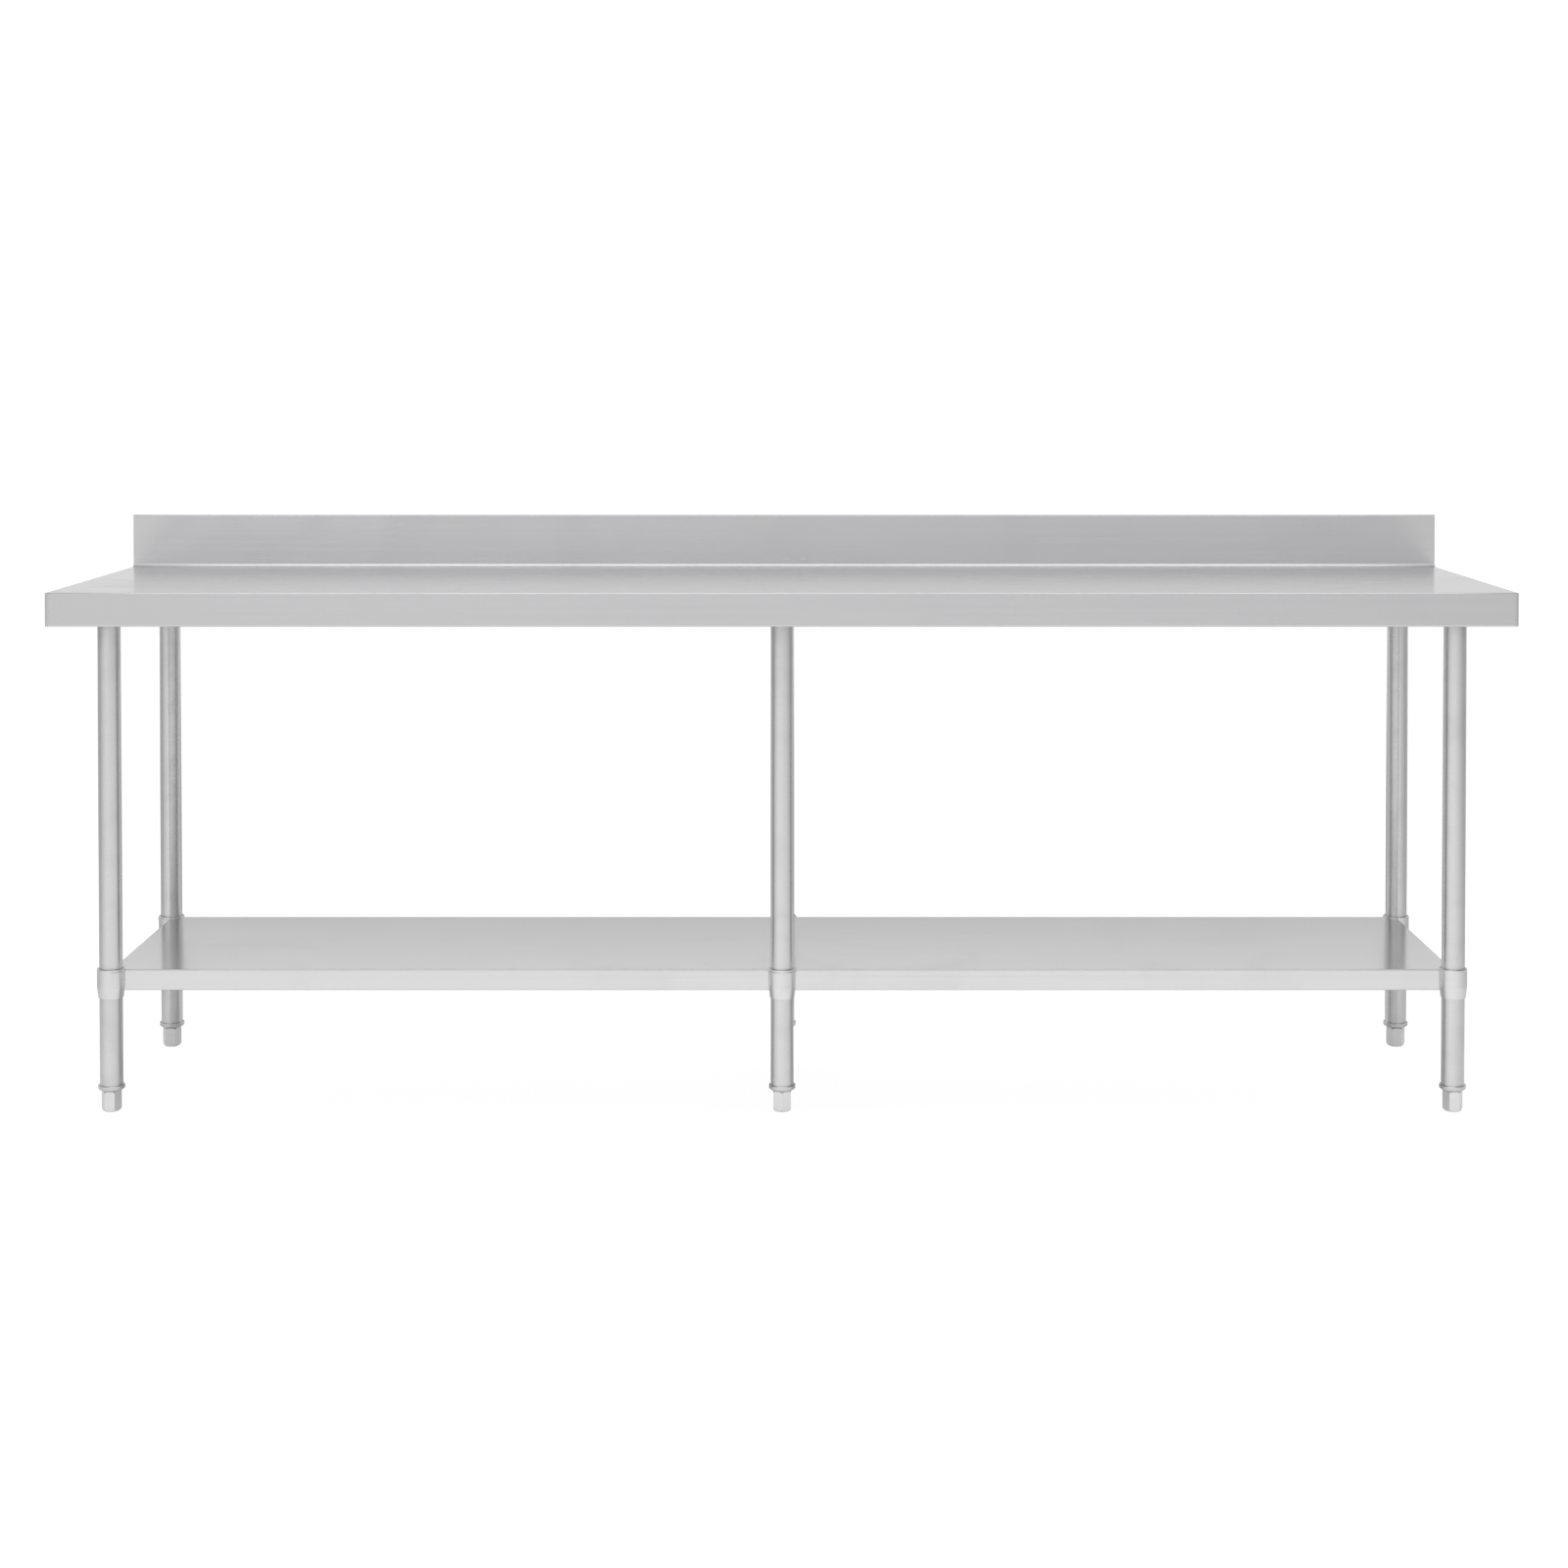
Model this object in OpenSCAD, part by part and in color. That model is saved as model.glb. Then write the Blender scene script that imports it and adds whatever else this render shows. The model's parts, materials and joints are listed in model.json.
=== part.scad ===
// Stainless steel work table with an upstand, six tube legs and a sliding undershelf.
// Millimetres, +Z up, +X along the table. The worktop's front edge faces -Y.
// The origin is on the floor, under the middle of the table.

/* [Worktop] */
// Overall length of the table
top_length = 2400; // [1600:50:2600]
// Overall depth of the table, upstand included
top_depth = 600; // [520:10:800]
// Height of the worktop above the floor with the feet screwed right in
work_height = 865; // [780:5:950]
// Height of the front and side aprons
apron_height = 55.5; // [54:0.5:80]
// Thickness of the worktop sheet
top_sheet = 1.2; // [0.8:0.1:1.5]
// Outer radius of the folded edges
fold_radius = 2.5; // [2:0.1:4]
// Width of the inward return along the aprons' lower edge
top_return = 14; // [8:1:20]

/* [Upstand] */
// Height of the upstand above the worktop
upstand_height = 95; // [60:5:200]
// Thickness of the folded upstand, front to back
upstand_depth = 16; // [12:1:25]
// Inner radius of the cove between worktop and upstand
cove_radius = 6; // [3:1:12]
// Length of the lip that turns down behind the upstand
upstand_lip = 25; // [10:1:35]
// Width of the rear apron's upper flange, which lies under the worktop
rear_flange = 60; // [40:1:64]

/* [Legs] */
// Outer diameter of a leg tube
leg_diameter = 38; // [34:0.5:40]
// Wall thickness of a leg tube
leg_wall = 1.2; // [1:0.1:2]
// Distance from the table's end to the centre of an end leg
leg_end_inset = 88; // [80:1:200]
// Distance from the table's front edge to the centre of a front leg
leg_front_inset = 65; // [62:1:90]
// Distance from the table's back edge to the centre of a rear leg
leg_rear_inset = 107; // [105:1:150]

/* [Leg sockets] */
// Depth of the cup that holds the leg's upper end
cup_depth = 28; // [20:1:28]
// Wall thickness of the cup
cup_wall = 3.8; // [3:0.1:5]
// Thickness of the plate that joins the cup to the cross channel
plate_thickness = 3; // [2:0.5:3]
// Size of the plate along the cross channel
plate_length = 76; // [56:1:90]
// Diameter of the grub screw that clamps the leg
socket_screw_diameter = 8; // [5:1:10]

/* [Channels] */
// Width of a hat channel's crown
channel_crown = 60; // [56:1:70]
// Depth of a channel under the worktop
channel_depth = 20; // [12:1:20]
// Width of each flange of a channel
channel_flange = 20; // [14:1:20]
// Thickness of the channels' sheet
channel_sheet = 1.5; // [1:0.1:2]
// Thickness of the sound-deadening strips
strip_thickness = 2; // [1:0.5:2]
// Width of the sound-deadening strips
strip_width = 16; // [12:1:18]
// Diameter of the weld studs
stud_diameter = 5; // [4:1:6]
// Length of the weld studs
stud_length = 14; // [12:1:16]
// Thickness of the nuts on the weld studs
nut_thickness = 4; // [3:0.5:5]
// Thickness of the washers under the nuts
washer_thickness = 1; // [0.5:0.1:1.2]

/* [Undershelf] */
// Height of the undershelf's upper face above the floor
shelf_height = 234.5; // [180:0.5:400]
// Height of the undershelf's folded edge
shelf_edge = 35; // [30:1:50]
// Thickness of the undershelf sheet
shelf_sheet = 1; // [0.8:0.1:1.2]
// Width of the inward return along the undershelf's lower edge
shelf_return = 10; // [6:1:14]
// Depth of the channel under the undershelf
shelf_channel_depth = 18; // [10:1:22]

/* [Collars] */
// Height of a shelf collar
collar_height = 48; // [44:1:60]
// Outer diameter of the collar's straight upper part
collar_diameter = 45.6; // [44:0.2:52]
// Outer diameter of the collar's lower rim
collar_rim_diameter = 41; // [40:0.2:43]
// Height of the collar's straight upper part
collar_straight = 30; // [10:1:36]
// How far the collar stands above the undershelf
collar_proud = 2.5; // [1:0.5:5]
// Diameter of the grub screw that clamps the collar
collar_screw_diameter = 6; // [4:1:8]

/* [Feet] */
// Width of the hexagonal foot across its flats
foot_flats = 29; // [26:0.5:34]
// Height of the foot below its insert
foot_height = 34; // [30:1:40]
// Radius of the flat that a foot stands on
foot_tread_radius = 12.5; // [11:0.1:12.8]
// Height of the rounded lower edge of a foot
foot_round = 5; // [3:0.5:8]
// Diameter of the threaded stem
stem_diameter = 12; // [8:1:14]
// Length of the stem above the foot
stem_length = 56; // [50:1:80]
// Depth to which the stem is fixed in the foot
stem_grip = 16; // [10:1:24]
// Diameter of the insert's flange
insert_flange_diameter = 43.6; // [42:0.2:48]
// Height of the insert's flange with its tapered underside
insert_flange_height = 10; // [8:1:14]
// Height of the insert's spigot inside the leg
insert_spigot = 28; // [20:1:40]

/* [Hidden] */
// Smoothness of the round parts
$fn = 64;
// A cut runs past the face it opens by this much
over = 1;
// Gap between pieces that move against each other
slide_gap = 0.3;
// Gap between pieces that are fixed but would otherwise share a curved face
fixed_gap = 0.05;
// Radial clearance of the stem in its insert
stem_gap = 0.1;
// Clearance radius added around a stud in the strips and flanges
stud_gap = 0.6;

half_length = top_length / 2;
half_depth = top_depth / 2;
apron_bottom = work_height - apron_height;
table_top = work_height + upstand_height;
sheet_under = work_height - top_sheet;
upstand_front = half_depth - upstand_depth;
cove_start = upstand_front - cove_radius;
lip_bottom = table_top - upstand_lip;
lip_inner_radius = 0.8;
lip_radius = top_sheet + lip_inner_radius;

leg_x = half_length - leg_end_inset;
leg_front_y = leg_front_inset - half_depth;
leg_rear_y = half_depth - leg_rear_inset;
middle_y = (leg_front_y + leg_rear_y) / 2;
leg_radius = leg_diameter / 2;
leg_bottom = foot_height + insert_flange_height;

// Each leg's name, its place in plan, and the direction from it to the middle of the table
LEG_PLACES = [
    ["front_left", -leg_x, leg_front_y, 1, 1],
    ["front_centre", 0, leg_front_y, 0, 1],
    ["front_right", leg_x, leg_front_y, -1, 1],
    ["rear_left", -leg_x, leg_rear_y, 1, -1],
    ["rear_centre", 0, leg_rear_y, 0, -1],
    ["rear_right", leg_x, leg_rear_y, -1, -1]
];

// Heights under the worktop
channel_top = sheet_under - strip_thickness;
channel_bottom = channel_top - channel_depth;
plate_bottom = channel_bottom - plate_thickness;
cup_bottom = plate_bottom - cup_depth;
cup_radius = leg_radius + fixed_gap + cup_wall;
plate_margin = 1;

// Cross channels run front to back over each pair of legs
channel_half = channel_crown / 2 + channel_flange;
channel_end_gap = 2;
cross_front = top_sheet + top_return - half_depth;
cross_rear = half_depth - rear_flange - channel_end_gap;
cross_places = [["left", -leg_x], ["centre", 0], ["right", leg_x]];
// Long channels run between the cross channels along the middle of each bay
long_start = channel_half + channel_end_gap;
long_end = leg_x - channel_half - channel_end_gap;
long_places = [["left", -1], ["right", 1]];

// Studs stand in the middle of the flanges
stud_side = channel_crown / 2 + channel_flange / 2;
cross_stud_inset = 22;
long_stud_inset = 66;
cross_studs = [cross_front + cross_stud_inset, middle_y, cross_rear - cross_stud_inset];
long_studs = [
    long_start + long_stud_inset, (long_start + long_end) / 2, long_end - long_stud_inset
];
stud_places = concat(
    [for (place = cross_places, y = cross_studs, side = [-1, 1]) [place[1] + side * stud_side, y]],
    [for (place = long_places, x = long_studs, side = [-1, 1])
        [place[1] * x, middle_y + side * stud_side]]
);
stud_radius = stud_diameter / 2;
washer_top = channel_top - channel_sheet;
nut_top = washer_top - washer_thickness;
washer_gap = 0.2;
// A nut's width across its flats, as a multiple of the stud's diameter
nut_flats_ratio = 1.6;

// Undershelf, whose corners lie on the leg centres
shelf_under = shelf_height - shelf_sheet;
shelf_bottom = shelf_height - shelf_edge;
shelf_channel_inset = 52;
shelf_channel_end = leg_x - shelf_channel_inset;
collar_top = shelf_height + collar_proud;
collar_bottom = collar_top - collar_height;
collar_bore = leg_radius + slide_gap;
collar_radius = collar_diameter / 2;
collar_lip = 1.2;
collar_mouth_depth = 6;
collar_screw_drop = 25;
collar_screw_z = collar_top - collar_screw_drop;
collar_screw_length = 8;
socket_screw_length = 9;

// Feet
foot_top = foot_height - slide_gap;
insert_bottom = foot_height;
insert_taper_height = 4;
insert_taper_width = 5;
insert_taper_radius = insert_flange_diameter / 2 - insert_taper_width;
spigot_radius = leg_radius - leg_wall - fixed_gap;
stem_radius = stem_diameter / 2;
foot_corner_radius = foot_flats / 2 / cos(30);
foot_chamfer = 2;

single_nodes = [
    "worktop", "rear_apron", "upstand_cap_left", "upstand_cap_right",
    "cross_channel_left", "cross_channel_centre", "cross_channel_right",
    "long_channel_left", "long_channel_right",
    "deadening_strips", "weld_studs", "stud_washers", "stud_nuts", "socket_screws",
    "undershelf", "shelf_channel", "collar_screws"
];
repeated_nodes = ["leg_socket", "leg", "shelf_collar", "foot_insert", "foot", "foot_stem"];

// A rectangle from the origin with its corners rounded
module rounded_rectangle(size, radius) {
    translate([radius, 0]) square([size.x - 2 * radius, size.y]);
    translate([0, radius]) square([size.x, size.y - 2 * radius]);
    for (x = [radius, size.x - radius], y = [radius, size.y - radius])
        translate([x, y]) circle(radius);
}

// A box between two corners
module box(low, high) {
    translate(low) cube(high - low);
}

// A box between two corners with all its edges rounded
module soft_box(low, high, radius) {
    size = high - low;
    intersection() {
        translate(low) linear_extrude(size.z) rounded_rectangle([size.x, size.y], radius);
        translate(low) rotate([90, 0, 90])
            linear_extrude(size.x) rounded_rectangle([size.y, size.z], radius);
        translate([low.x, high.y, low.z]) rotate([90, 0, 0])
            linear_extrude(size.y) rounded_rectangle([size.x, size.z], radius);
    }
}

// Extrudes a drawing of the side view, depth by height, along the table
module along_table(x_low, x_high) {
    translate([x_low, 0, 0]) rotate([90, 0, 90]) linear_extrude(x_high - x_low) children();
}

// Side view of the upstand: cove, front face, top and the lip behind
module upstand_section() {
    intersection() {
        translate([cove_start, work_height + cove_radius]) difference() {
            circle(cove_radius + top_sheet);
            circle(cove_radius);
        }
        translate([cove_start, sheet_under]) square(cove_radius + top_sheet);
    }
    difference() {
        translate([upstand_front, work_height])
            rounded_rectangle([upstand_depth, upstand_height], lip_radius);
        translate([upstand_front + top_sheet, work_height - over])
            rounded_rectangle(
                [upstand_depth - 2 * top_sheet, upstand_height + over - top_sheet],
                lip_inner_radius
            );
        translate([upstand_front + upstand_depth / 2, work_height - over])
            square([upstand_depth, upstand_height - upstand_lip + over]);
        translate([upstand_front - over, work_height - over])
            square([upstand_depth + 2 * over, cove_radius + over]);
    }
}

// Worktop: plate, aprons, returns and upstand, folded from one sheet and welded at the corners
module worktop() {
    color("silver") {
        difference() {
            soft_box(
                [-half_length, -half_depth, apron_bottom],
                [half_length, half_depth, work_height],
                fold_radius
            );
            box(
                [top_sheet - half_length, top_sheet - half_depth, apron_bottom + top_sheet],
                [half_length - top_sheet, half_depth + over, sheet_under]
            );
            box(
                [top_return - half_length, top_return - half_depth, apron_bottom - over],
                [half_length - top_return, half_depth + over, apron_bottom + 2 * top_sheet]
            );
            box(
                [-half_length - over, cove_start, sheet_under],
                [half_length + over, half_depth + over, work_height + over]
            );
        }
        along_table(-half_length, half_length) upstand_section();
    }
}

// Rear apron: a folded rail welded under the back of the worktop
module rear_apron() {
    x = half_length - top_sheet - slide_gap;
    front = half_depth - rear_flange;
    color("silver") difference() {
        box([-x, front, apron_bottom], [x, half_depth, sheet_under]);
        box(
            [-x - over, front - over, apron_bottom + top_sheet],
            [x + over, half_depth - top_sheet, sheet_under - top_sheet]
        );
        box(
            [-x - over, front - over, apron_bottom - over],
            [x + over, half_depth - top_return, apron_bottom + 2 * top_sheet]
        );
        for (side = [-1, 1])
            translate([side * half_length, half_depth, apron_bottom - over])
                linear_extrude(over + top_sheet + fixed_gap)
                    square(2 * (top_return + fixed_gap), center = true);
    }
}

// End cap that closes the folded upstand at one end, side being -1 for left and 1 for right
module upstand_cap(side) {
    x_outer = side * half_length;
    x_inner = side * (half_length - top_sheet);
    inner = upstand_front + top_sheet + fixed_gap;
    outer = half_depth - top_sheet - fixed_gap;
    top = table_top - top_sheet - fixed_gap;
    color("gainsboro") along_table(min(x_outer, x_inner), max(x_outer, x_inner)) difference() {
        union() {
            translate([cove_start, sheet_under])
                square([inner - cove_start, cove_radius + top_sheet]);
            translate([inner, sheet_under]) square([outer - inner, top - sheet_under]);
            translate([outer, sheet_under])
                square([half_depth - outer, lip_bottom - fixed_gap - sheet_under]);
        }
        translate([cove_start, work_height + cove_radius])
            circle(cove_radius + top_sheet + fixed_gap);
    }
}

// Outline of a hat channel, hanging below the origin with its flanges uppermost
module hat_section(depth) {
    half = channel_crown / 2;
    translate([-half, -depth]) square([channel_crown, channel_sheet]);
    for (side = [-1, 1]) {
        translate([side > 0 ? half - channel_sheet : -half, -depth])
            square([channel_sheet, depth]);
        translate([side > 0 ? half - channel_sheet : -half - channel_flange, -channel_sheet])
            square([channel_flange + channel_sheet, channel_sheet]);
    }
}

// Clearance holes for all the studs through the strips and flanges
module stud_holes() {
    for (place = stud_places)
        translate([place.x, place.y, nut_top])
            cylinder(h = sheet_under - nut_top + over, r = stud_radius + stud_gap);
}

// Cross channel, which carries the two leg sockets under it
module cross_channel(x) {
    color("lightgray") difference() {
        translate([x, cross_rear, channel_top]) rotate([90, 0, 0])
            linear_extrude(cross_rear - cross_front) hat_section(channel_depth);
        stud_holes();
    }
}

// Long channel along the middle of one bay
module long_channel(side) {
    start = side > 0 ? long_start : -long_end;
    color("lightgray") difference() {
        translate([start, middle_y, channel_top]) rotate([90, 0, 90])
            linear_extrude(long_end - long_start) hat_section(channel_depth);
        stud_holes();
    }
}

// Sound-deadening strips between the channels' flanges and the worktop
module deadening_strips() {
    half = strip_width / 2;
    color("dimgray") difference() {
        for (side = [-1, 1]) {
            for (place = cross_places)
                box(
                    [place[1] + side * stud_side - half, cross_front, channel_top],
                    [place[1] + side * stud_side + half, cross_rear, sheet_under]
                );
            for (place = long_places, start = [place[1] > 0 ? long_start : -long_end])
                box(
                    [start, middle_y + side * stud_side - half, channel_top],
                    [start + long_end - long_start, middle_y + side * stud_side + half, sheet_under]
                );
        }
        stud_holes();
    }
}

// Studs welded to the underside of the worktop
module weld_studs() {
    color("darkgray") for (place = stud_places)
        translate([place.x, place.y, sheet_under - stud_length])
            cylinder(h = stud_length, r = stud_radius);
}

// Washers under the stud nuts
module stud_washers() {
    color("lightsteelblue") for (place = stud_places)
        translate([place.x, place.y, nut_top]) difference() {
            cylinder(h = washer_thickness, r = 2 * stud_radius);
            translate([0, 0, -over])
                cylinder(h = washer_thickness + 2 * over, r = stud_radius + washer_gap);
        }
}

// Hexagon nuts on the weld studs
module stud_nuts() {
    nut_radius = nut_flats_ratio * stud_radius / cos(30);
    color("slategray") for (place = stud_places)
        translate([place.x, place.y, nut_top - nut_thickness]) difference() {
            cylinder(h = nut_thickness, r = nut_radius, $fn = 6);
            translate([0, 0, -over])
                cylinder(h = nut_thickness + 2 * over, r = stud_radius + fixed_gap);
        }
}

// Points a screw's axis, drawn along +X, from a leg towards the middle of the table
module towards_middle(direction) {
    rotate([0, 0, atan2(direction.y, direction.x)]) rotate([0, 90, 0]) children();
}

// Grub screw with a hexagon socket, its tip at the origin and its head along +Z
module grub_screw(length, diameter) {
    socket_depth = diameter / 2;
    difference() {
        cylinder(h = length, d = diameter);
        translate([0, 0, length - socket_depth])
            cylinder(h = socket_depth + over, d = diameter / 2, $fn = 6);
    }
}

// Socket of one leg: a plate against the cross channel and a cup around the leg's end
module leg_socket(place) {
    color("lightsteelblue") translate([place[1], place[2], 0]) difference() {
        union() {
            plate_half = channel_crown / 2 - plate_margin;
            box(
                [-plate_half, -plate_length / 2, plate_bottom],
                [plate_half, plate_length / 2, channel_bottom]
            );
            translate([0, 0, cup_bottom]) cylinder(h = cup_depth + over, r = cup_radius);
        }
        translate([0, 0, cup_bottom - over])
            cylinder(h = cup_depth + over, r = leg_radius + fixed_gap);
        translate([0, 0, (cup_bottom + plate_bottom) / 2]) towards_middle([0, place[4]])
            cylinder(h = cup_radius + over, d = socket_screw_diameter + 2 * fixed_gap);
    }
}

// Grub screws that clamp the legs in their sockets
module socket_screws() {
    color("dimgray") for (place = LEG_PLACES)
        translate([place[1], place[2], (cup_bottom + plate_bottom) / 2])
            towards_middle([0, place[4]]) translate([0, 0, leg_radius + stem_gap])
                grub_screw(socket_screw_length, socket_screw_diameter);
}

// Leg tube from its foot insert up to the socket's plate
module leg(place) {
    height = plate_bottom - leg_bottom;
    color("gainsboro") translate([place[1], place[2], leg_bottom]) difference() {
        cylinder(h = height, r = leg_radius);
        translate([0, 0, -over]) cylinder(h = height + 2 * over, r = leg_radius - leg_wall);
    }
}

// Undershelf: a folded pan with a notch for each collar
module undershelf() {
    color("gainsboro") difference() {
        soft_box(
            [-leg_x, leg_front_y, shelf_bottom],
            [leg_x, leg_rear_y, shelf_height],
            fold_radius
        );
        box(
            [shelf_sheet - leg_x, leg_front_y + shelf_sheet, shelf_bottom + shelf_sheet],
            [leg_x - shelf_sheet, leg_rear_y - shelf_sheet, shelf_under]
        );
        box(
            [shelf_return - leg_x, leg_front_y + shelf_return, shelf_bottom - over],
            [leg_x - shelf_return, leg_rear_y - shelf_return, shelf_bottom + 2 * shelf_sheet]
        );
        for (place = LEG_PLACES)
            translate([place[1], place[2], shelf_bottom - over])
                cylinder(h = shelf_edge + 2 * over, r = collar_radius + fixed_gap);
    }
}

// Hat channel welded lengthwise under the undershelf
module shelf_channel() {
    color("lightgray") translate([-shelf_channel_end, middle_y, shelf_under])
        rotate([90, 0, 90]) linear_extrude(2 * shelf_channel_end) hat_section(shelf_channel_depth);
}

// Collar with a countersunk mouth and a tapered lower part, which slides on one leg and is
// welded into the undershelf
module shelf_collar(place) {
    taper_top = collar_top - collar_straight;
    rim = collar_rim_diameter / 2;
    edge = 0.4;
    color("whitesmoke") translate([place[1], place[2], 0]) difference() {
        rotate_extrude() polygon([
            [collar_bore, collar_bottom],
            [rim, collar_bottom],
            [collar_radius, taper_top],
            [collar_radius, collar_top - edge],
            [collar_radius - edge, collar_top],
            [collar_radius - collar_lip, collar_top],
            [collar_bore, collar_top - collar_mouth_depth]
        ]);
        translate([0, 0, collar_screw_z]) towards_middle([place[3], place[4]])
            cylinder(h = collar_radius + over, d = collar_screw_diameter + 2 * fixed_gap);
    }
}

// Grub screws that hold the collars, reached from under the undershelf
module collar_screws() {
    color("dimgray") for (place = LEG_PLACES)
        translate([place[1], place[2], collar_screw_z])
            towards_middle([place[3], place[4]]) translate([0, 0, collar_bore])
                grub_screw(collar_screw_length, collar_screw_diameter);
}

// Threaded insert that closes the leg's lower end
module foot_insert(place) {
    top = leg_bottom + insert_spigot;
    flange_radius = insert_flange_diameter / 2;
    edge = 0.8;
    color("darkgray") translate([place[1], place[2], 0]) rotate_extrude() polygon([
        [stem_radius + stem_gap, insert_bottom],
        [insert_taper_radius, insert_bottom],
        [flange_radius, insert_bottom + insert_taper_height],
        [flange_radius, leg_bottom - edge],
        [flange_radius - edge, leg_bottom],
        [spigot_radius, leg_bottom],
        [spigot_radius, top],
        [stem_radius + stem_gap, top]
    ]);
}

// Hexagonal foot with a rounded lower edge; the centre feet show a flat to the front
module foot(place) {
    turn = place[3] == 0 ? 30 : 0;
    outer = foot_corner_radius + over;
    color("lightgray") translate([place[1], place[2], 0]) difference() {
        intersection() {
            rotate([0, 0, turn]) cylinder(h = foot_top, r = foot_corner_radius, $fn = 6);
            rotate_extrude() polygon([
                [0, 0],
                [foot_tread_radius, 0],
                [foot_flats / 2, foot_round / 3],
                [foot_corner_radius, foot_round],
                [outer, foot_round + over],
                [outer, foot_top - foot_chamfer - over],
                [foot_corner_radius, foot_top - foot_chamfer],
                [foot_corner_radius - foot_chamfer, foot_top],
                [0, foot_top]
            ]);
        }
        translate([0, 0, foot_top - stem_grip])
            cylinder(h = stem_grip + over, r = stem_radius + fixed_gap);
    }
}

// Threaded stem fixed in the foot; its thread is drawn plain
module foot_stem(place) {
    tip = 1.5;
    height = stem_grip + stem_length;
    color("slategray") translate([place[1], place[2], foot_top - stem_grip])
        rotate_extrude() polygon([
            [0, 0],
            [stem_radius, 0],
            [stem_radius, height - tip],
            [stem_radius - tip, height],
            [0, height]
        ]);
}

worktop();
rear_apron();
upstand_cap(-1);  // upstand_cap_left
upstand_cap(1);  // upstand_cap_right
for (place = cross_places)
    cross_channel(place[1]);
for (place = long_places)
    long_channel(place[1]);
deadening_strips();
weld_studs();
stud_washers();
stud_nuts();
socket_screws();
undershelf();
shelf_channel();
collar_screws();
for (place = LEG_PLACES) {
    leg_socket(place);
    leg(place);
    shelf_collar(place);
    foot_insert(place);
    foot(place);
    foot_stem(place);
}
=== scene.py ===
"""Looks of the stainless work table: finishes, threads, weld beads, floor, light and camera."""

import json
import math

import bpy
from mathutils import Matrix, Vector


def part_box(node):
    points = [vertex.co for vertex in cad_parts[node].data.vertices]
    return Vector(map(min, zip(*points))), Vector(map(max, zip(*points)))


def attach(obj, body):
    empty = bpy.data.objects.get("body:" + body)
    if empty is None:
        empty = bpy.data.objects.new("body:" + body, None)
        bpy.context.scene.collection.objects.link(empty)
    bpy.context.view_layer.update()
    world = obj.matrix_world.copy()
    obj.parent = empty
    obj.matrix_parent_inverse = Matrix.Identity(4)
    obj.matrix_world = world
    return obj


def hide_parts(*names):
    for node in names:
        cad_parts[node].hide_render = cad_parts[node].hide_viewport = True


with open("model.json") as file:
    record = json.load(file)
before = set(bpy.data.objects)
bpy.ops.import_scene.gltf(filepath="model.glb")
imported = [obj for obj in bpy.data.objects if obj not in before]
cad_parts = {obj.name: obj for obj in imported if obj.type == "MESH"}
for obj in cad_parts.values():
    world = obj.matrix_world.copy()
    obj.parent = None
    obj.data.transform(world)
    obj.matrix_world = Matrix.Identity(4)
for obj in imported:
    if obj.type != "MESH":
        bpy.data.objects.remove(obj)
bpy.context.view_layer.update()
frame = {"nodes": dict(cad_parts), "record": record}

PLACES = ("front_left", "front_centre", "front_right", "rear_left", "rear_centre", "rear_right")

# Threads, in metres: the stems inside the feet, then the studs under the worktop
STEM_PITCH = 0.00175
STEM_DEPTH = 0.0010
STEM_SEGMENTS = 40
STEM_TIP = 0.0015
STUD_PITCH = 0.0008
STUD_DEPTH = 0.00045
STUD_SEGMENTS = 20
STUD_TIP = 0.0006
# Points nearer than this in plan belong to the same stud
STUD_REACH = 0.008
# Both threads: the lead in turns, the point as a share of the radius, the rest of the pitch
THREAD_FLANK = 0.44
THREAD_LEAD = 1.33
THREAD_MERGE = 0.01
THREAD_CUT = 0.001
THREAD_POINT = 0.7
THREAD_SMOOTH_ANGLE = math.radians(35.0)

# Undershelf's sheet and the wall of the sockets' cups, which the weld beads lie against
SHELF_SHEET = 0.0010
CUP_WALL = 0.00385
# Weld beads, in metres and degrees; every third step of a bead stands highest
BEAD_RADIUS = 0.0016
BEAD_RIPPLE = 0.00022
BEAD_RIPPLE_STEPS = 3
BEAD_STEP = 2.5
BEAD_END_GAP = 5.0
BEAD_FULL_SWEEP = 352.5
BEAD_SIDES = 10
BEAD_MERGE = 1e-6

# Front right corners in plan, the width of the ground weld at them and the share of that width
# at which its mark is full
TOP_CORNER = (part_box("worktop")[1][0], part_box("worktop")[0][1])
SHELF_CORNER = (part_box("undershelf")[1][0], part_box("undershelf")[0][1])
WELD_BAND = 0.008
WELD_FULL = 0.6

# Scale of the polishing lines on the small parts
ALL_WAYS = (260.0, 260.0, 260.0)
AROUND = (60.0, 60.0, 900.0)
# How far grain and lines take the roughness below and above its middle
SMOOTHER = 0.03
ROUGHER = 0.04

# Spacing of the nodes in the editor
NODE_ACROSS = 240
NODE_DOWN = 300

# Gap between the floor and the feet screwed right out, in metres
FLOOR_GAP = 0.0005
FLOOR_SIDES = 96


# ---------------------------------------------------------------- shared steps


def deselect_all():
    """Leaves nothing selected, so that the next operator acts on its own piece only."""
    if bpy.context.object and bpy.context.object.mode != "OBJECT":
        bpy.ops.object.mode_set(mode="OBJECT")
    bpy.ops.object.select_all(action="DESELECT")


def select_only(piece):
    """Makes one piece the selected and active one."""
    deselect_all()
    piece.select_set(True)
    bpy.context.view_layer.objects.active = piece


def settle(piece):
    """Puts a piece's place, turn and size into its mesh."""
    select_only(piece)
    bpy.ops.object.transform_apply(location=True, rotation=True, scale=True)


def copy_to(piece, name, place):
    """A copy of a piece with its own mesh, moved to a place."""
    copy = piece.copy()
    copy.data = piece.data.copy()
    copy.name = name
    bpy.context.scene.collection.objects.link(copy)
    copy.location = place
    settle(copy)
    return copy


def middle_of(node):
    """The middle of a CAD node in plan, with its lowest and highest point."""
    low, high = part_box(node)
    return (low[0] + high[0]) / 2, (low[1] + high[1]) / 2, low[2], high[2]


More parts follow.
